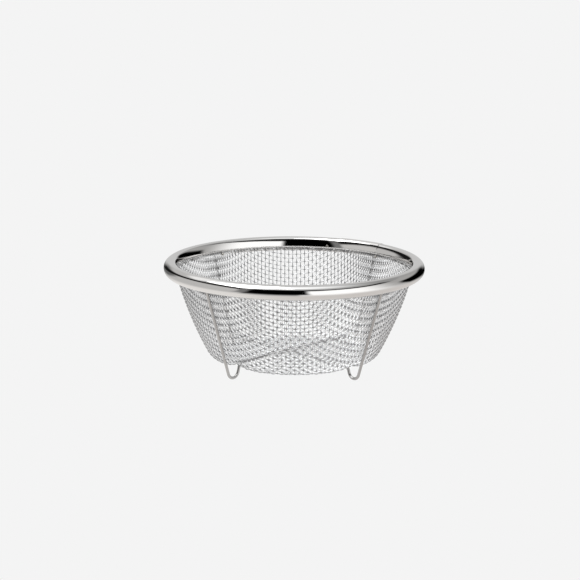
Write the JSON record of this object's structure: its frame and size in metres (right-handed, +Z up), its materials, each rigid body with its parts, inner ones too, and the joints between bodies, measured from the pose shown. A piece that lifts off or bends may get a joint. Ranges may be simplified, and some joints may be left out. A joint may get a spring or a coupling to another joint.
{
  "type": "basket strainer",
  "caption": "Round wire-mesh strainer basket with a thick rolled rim, standing on looped feet bent from crossed leg wires.",
  "frame": {"origin": "centre of the plane that the four feet stand on", "axes": "+Z up along the basket's axis; the legs lie near the diagonals of X and Y; the rim joint is between +X and +Y"},
  "size_m": [0.21, 0.21, 0.0874],
  "materials": {
    "rim": "mirror-polished stainless steel",
    "mesh": "bright woven stainless steel wire",
    "leg_wire": "drawn stainless steel wire",
    "weld": "bare weld metal"
  },
  "bodies": {
    "root": {"rim_band": "rim", "rim_joint_sleeve": "rim", "rim_spot_weld": "weld", "rim_core_ring": "leg_wire", "mesh_basket": "mesh", "leg_wire_upper": "leg_wire", "leg_wire_lower": "leg_wire", "cross_weld": "weld", "leg_top_welds": "weld"}
  },
  "joints": []
}
